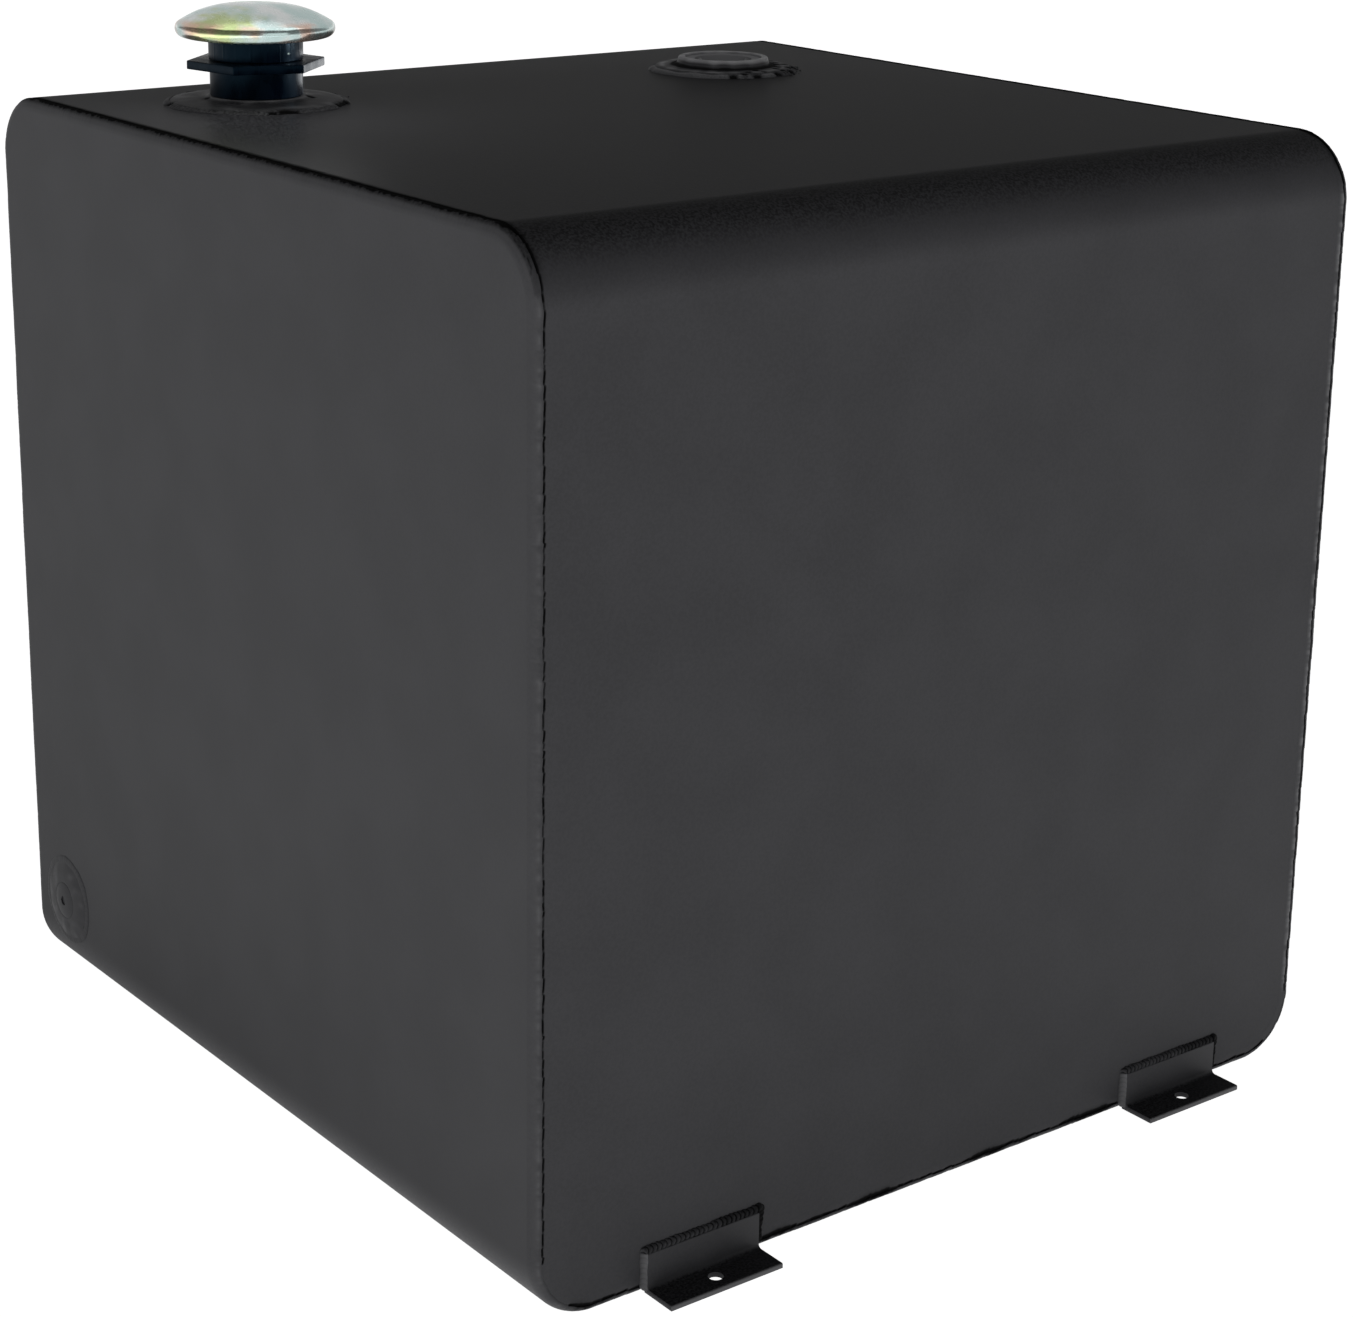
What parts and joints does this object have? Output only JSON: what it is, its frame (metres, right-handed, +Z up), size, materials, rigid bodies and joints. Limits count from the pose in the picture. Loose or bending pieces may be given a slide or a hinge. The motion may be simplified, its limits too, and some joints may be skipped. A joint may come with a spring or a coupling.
{
  "type": "hydraulic reservoir",
  "caption": "Square bent-sheet steel fluid reservoir with welded seams, a vented screw cap on a hex neck, a plugged port, a drain plug and angle tie-down brackets.",
  "frame": {"origin": "centre of the flat underside of the box", "axes": "+Z up, -Y is the front with the visible pair of brackets, -X is the left side with the drain"},
  "size_m": [0.6148, 0.6614, 0.673],
  "materials": {
    "black_paint": "satin black powder coat with a fine texture",
    "black_nylon": "glossy blue-black moulded nylon",
    "yellow_zinc": "bright zinc plate with a faint yellow, green and pink passivation sheen",
    "bare_steel": "plain steel",
    "brass": "turned brass",
    "copper": "soft copper",
    "seal_rubber": "matt nitrile rubber",
    "filter_foam": "open-cell filter foam"
  },
  "bodies": {
    "tank": {"lower_shell": "black_paint", "upper_shell": "black_paint", "seam_weld_left": "black_paint", "seam_weld_right": "black_paint", "seam_weld_front": "black_paint", "seam_weld_rear": "black_paint", "baffle_plate": "black_paint", "tie_down_bracket_front_left": "black_paint", "bracket_weld_front_left": "black_paint", "tie_down_bracket_front_right": "black_paint", "bracket_weld_front_right": "black_paint", "tie_down_bracket_rear_left": "black_paint", "bracket_weld_rear_left": "black_paint", "tie_down_bracket_rear_right": "black_paint", "bracket_weld_rear_right": "black_paint", "filler_flange": "black_paint", "filler_flange_weld": "black_paint", "filler_adapter": "black_nylon", "strainer_basket": "bare_steel", "pump_flange": "black_paint", "pump_flange_weld": "black_paint", "drain_flange": "black_paint", "drain_flange_weld": "black_paint"},
    "filler_cap_seal": {"filler_cap_gasket": "seal_rubber"},
    "filler_cap": {"filler_cap_skirt": "black_nylon", "filler_cap_pan": "yellow_zinc", "filler_cap_dome": "yellow_zinc", "breather_foam": "filter_foam", "vent_spring": "bare_steel"},
    "vent_valve": {"vent_stem": "brass", "vent_disc": "seal_rubber"},
    "pump_plug_seal": {"pump_plug_gasket": "seal_rubber"},
    "pump_plug_body": {"pump_plug": "black_paint"},
    "drain_plug_seal": {"drain_plug_washer": "copper"},
    "drain_plug_body": {"drain_plug": "black_paint"}
  },
  "joints": [
    {"name": "cap_turn", "type": "hinge", "parent": "filler_cap_seal", "child": "filler_cap", "pos_m": [-0.19, 0.172, 0.644], "axis": [0, 0, 1], "range_deg": [0, 720]},
    {"name": "cap_lift", "type": "slide", "parent": "tank", "child": "filler_cap_seal", "axis": [0, 0, 1], "range_m": [0, 0.0121]},
    {"name": "vent_open", "type": "slide", "parent": "filler_cap", "child": "vent_valve", "axis": [0, 0, -1], "range_m": [0, 0.003], "stiffness_N_per_m": 150, "springref_m": -0.004, "deforming": ["vent_spring"]},
    {"name": "pump_plug_turn", "type": "hinge", "parent": "pump_plug_seal", "child": "pump_plug_body", "pos_m": [0.168, 0.147, 0.61], "axis": [0, 0, 1], "range_deg": [0, 2160]},
    {"name": "pump_plug_lift", "type": "slide", "parent": "tank", "child": "pump_plug_seal", "axis": [0, 0, 1], "range_m": [0, 0.01335]},
    {"name": "drain_plug_turn", "type": "hinge", "parent": "drain_plug_seal", "child": "drain_plug_body", "pos_m": [-0.305, 0.257, 0.061], "axis": [-1, 0, 0], "range_deg": [0, 1440]},
    {"name": "drain_plug_lift", "type": "slide", "parent": "tank", "child": "drain_plug_seal", "axis": [-1, 0, 0], "range_m": [0, 0.00736]}
  ],
  "couplings": [
    {"joint": "cap_lift", "follows": "cap_turn", "m_per_rad": 0.00095493},
    {"joint": "pump_plug_lift", "follows": "pump_plug_turn", "m_per_rad": 0.00035153},
    {"joint": "drain_plug_lift", "follows": "drain_plug_turn", "m_per_rad": 0.00028876}
  ]
}
